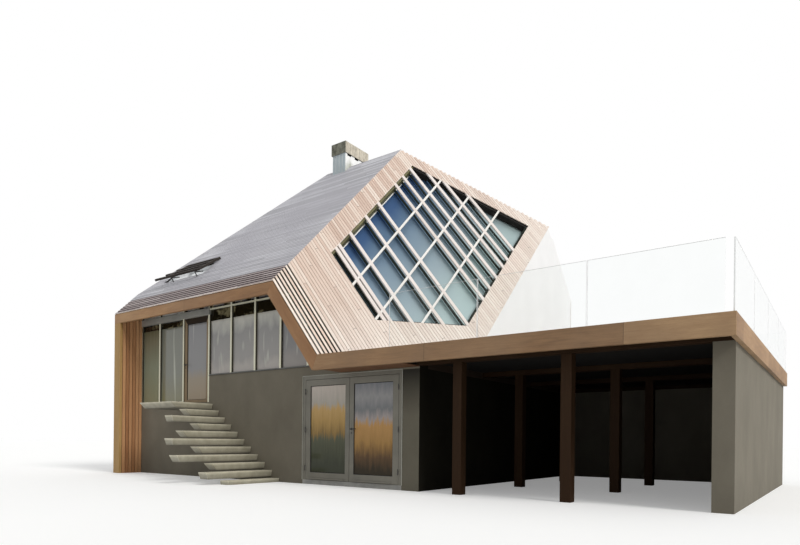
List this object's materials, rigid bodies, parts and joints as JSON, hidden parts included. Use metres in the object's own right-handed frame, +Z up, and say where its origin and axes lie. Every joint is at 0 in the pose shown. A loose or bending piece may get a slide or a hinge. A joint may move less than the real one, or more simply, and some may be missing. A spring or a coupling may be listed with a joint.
{
  "type": "modern beach house",
  "caption": "Faceted timber beach house on a rendered ground storey, with a skewed lattice window, a roof deck, a cantilevered stair and a hinged double door.",
  "frame": {"origin": "middle of the house's plan box, stair and deck included, at ground level", "axes": "+X to the right along the front, +Y into the house from the front, +Z up"},
  "size_m": [15.9, 10.45, 10.13],
  "materials": {
    "dark_render": "matt render, warm dark grey",
    "white_render": "matt white render",
    "concrete": "plain pale concrete",
    "grey_boards": "weathered grey boards",
    "cedar_boards": "pale pinkish cedar boards",
    "orange_boards": "oiled orange-brown boards",
    "brown_timber": "stained brown timber",
    "pale_timber": "pale timber",
    "dark_slats": "dark stained slats",
    "window_glass": "clear glass",
    "rail_glass": "clear glass",
    "grey_metal": "satin grey paint",
    "pale_metal": "satin pale grey paint",
    "steel": "brushed",
    "chimney_panel": "matt grey-blue panel"
  },
  "bodies": {
    "root": {"ground_floor": "concrete", "front_wall": "dark_render", "front_wall_over_door": "dark_render", "front_wall_right": "dark_render", "gable_wall_base": "dark_render", "back_wall_base": "dark_render", "left_wall_base": "dark_render", "entry_floor": "concrete", "main_floor": "concrete", "left_wall": "orange_boards", "left_wing": "orange_boards", "back_wall": "cedar_boards", "gable_wall": "white_render", "front_roof": "grey_boards", "back_roof": "grey_boards", "left_face": "cedar_boards", "big_face": "cedar_boards", "big_window_fins": "pale_timber", "big_window_frame": "dark_slats", "big_window_glass": "window_glass", "eave_slats": "grey_boards", "eave_rafters": "brown_timber", "face_slats": "cedar_boards", "face_rafters": "brown_timber", "eave_fascia": "brown_timber", "raking_fascia": "brown_timber", "end_post": "brown_timber", "deck_fascia": "brown_timber", "front_window_frame": "pale_timber", "front_window_glass": "window_glass", "header_beam": "pale_metal", "upper_door": "brown_timber", "upper_door_glass": "window_glass", "back_window_frame": "pale_timber", "back_window_glass": "window_glass", "deck_slab": "concrete", "deck_beams": "brown_timber", "deck_posts": "brown_timber", "deck_end_wall": "dark_render", "deck_back_wall": "dark_render", "balustrade_glass": "rail_glass", "chimney_stack": "chimney_panel", "chimney_cap": "grey_boards", "roof_flap": "dark_slats", "roof_window": "window_glass", "door_frame": "grey_metal", "stair_treads": "concrete"},
    "left_leaf": {"door_leaf_left": "grey_metal", "door_glass_left": "window_glass"},
    "right_leaf": {"door_leaf_right": "grey_metal", "door_glass_right": "window_glass", "door_lever": "steel"}
  },
  "joints": [
    {"name": "left_leaf_hinge", "type": "hinge", "parent": "root", "child": "left_leaf", "pos_m": [-0.861, -2.987, 1.24], "axis": [0, 0, 1], "range_deg": [-90, 0]},
    {"name": "right_leaf_hinge", "type": "hinge", "parent": "root", "child": "right_leaf", "pos_m": [1.791, -2.987, 1.24], "axis": [0, 0, 1], "range_deg": [0, 90]}
  ]
}
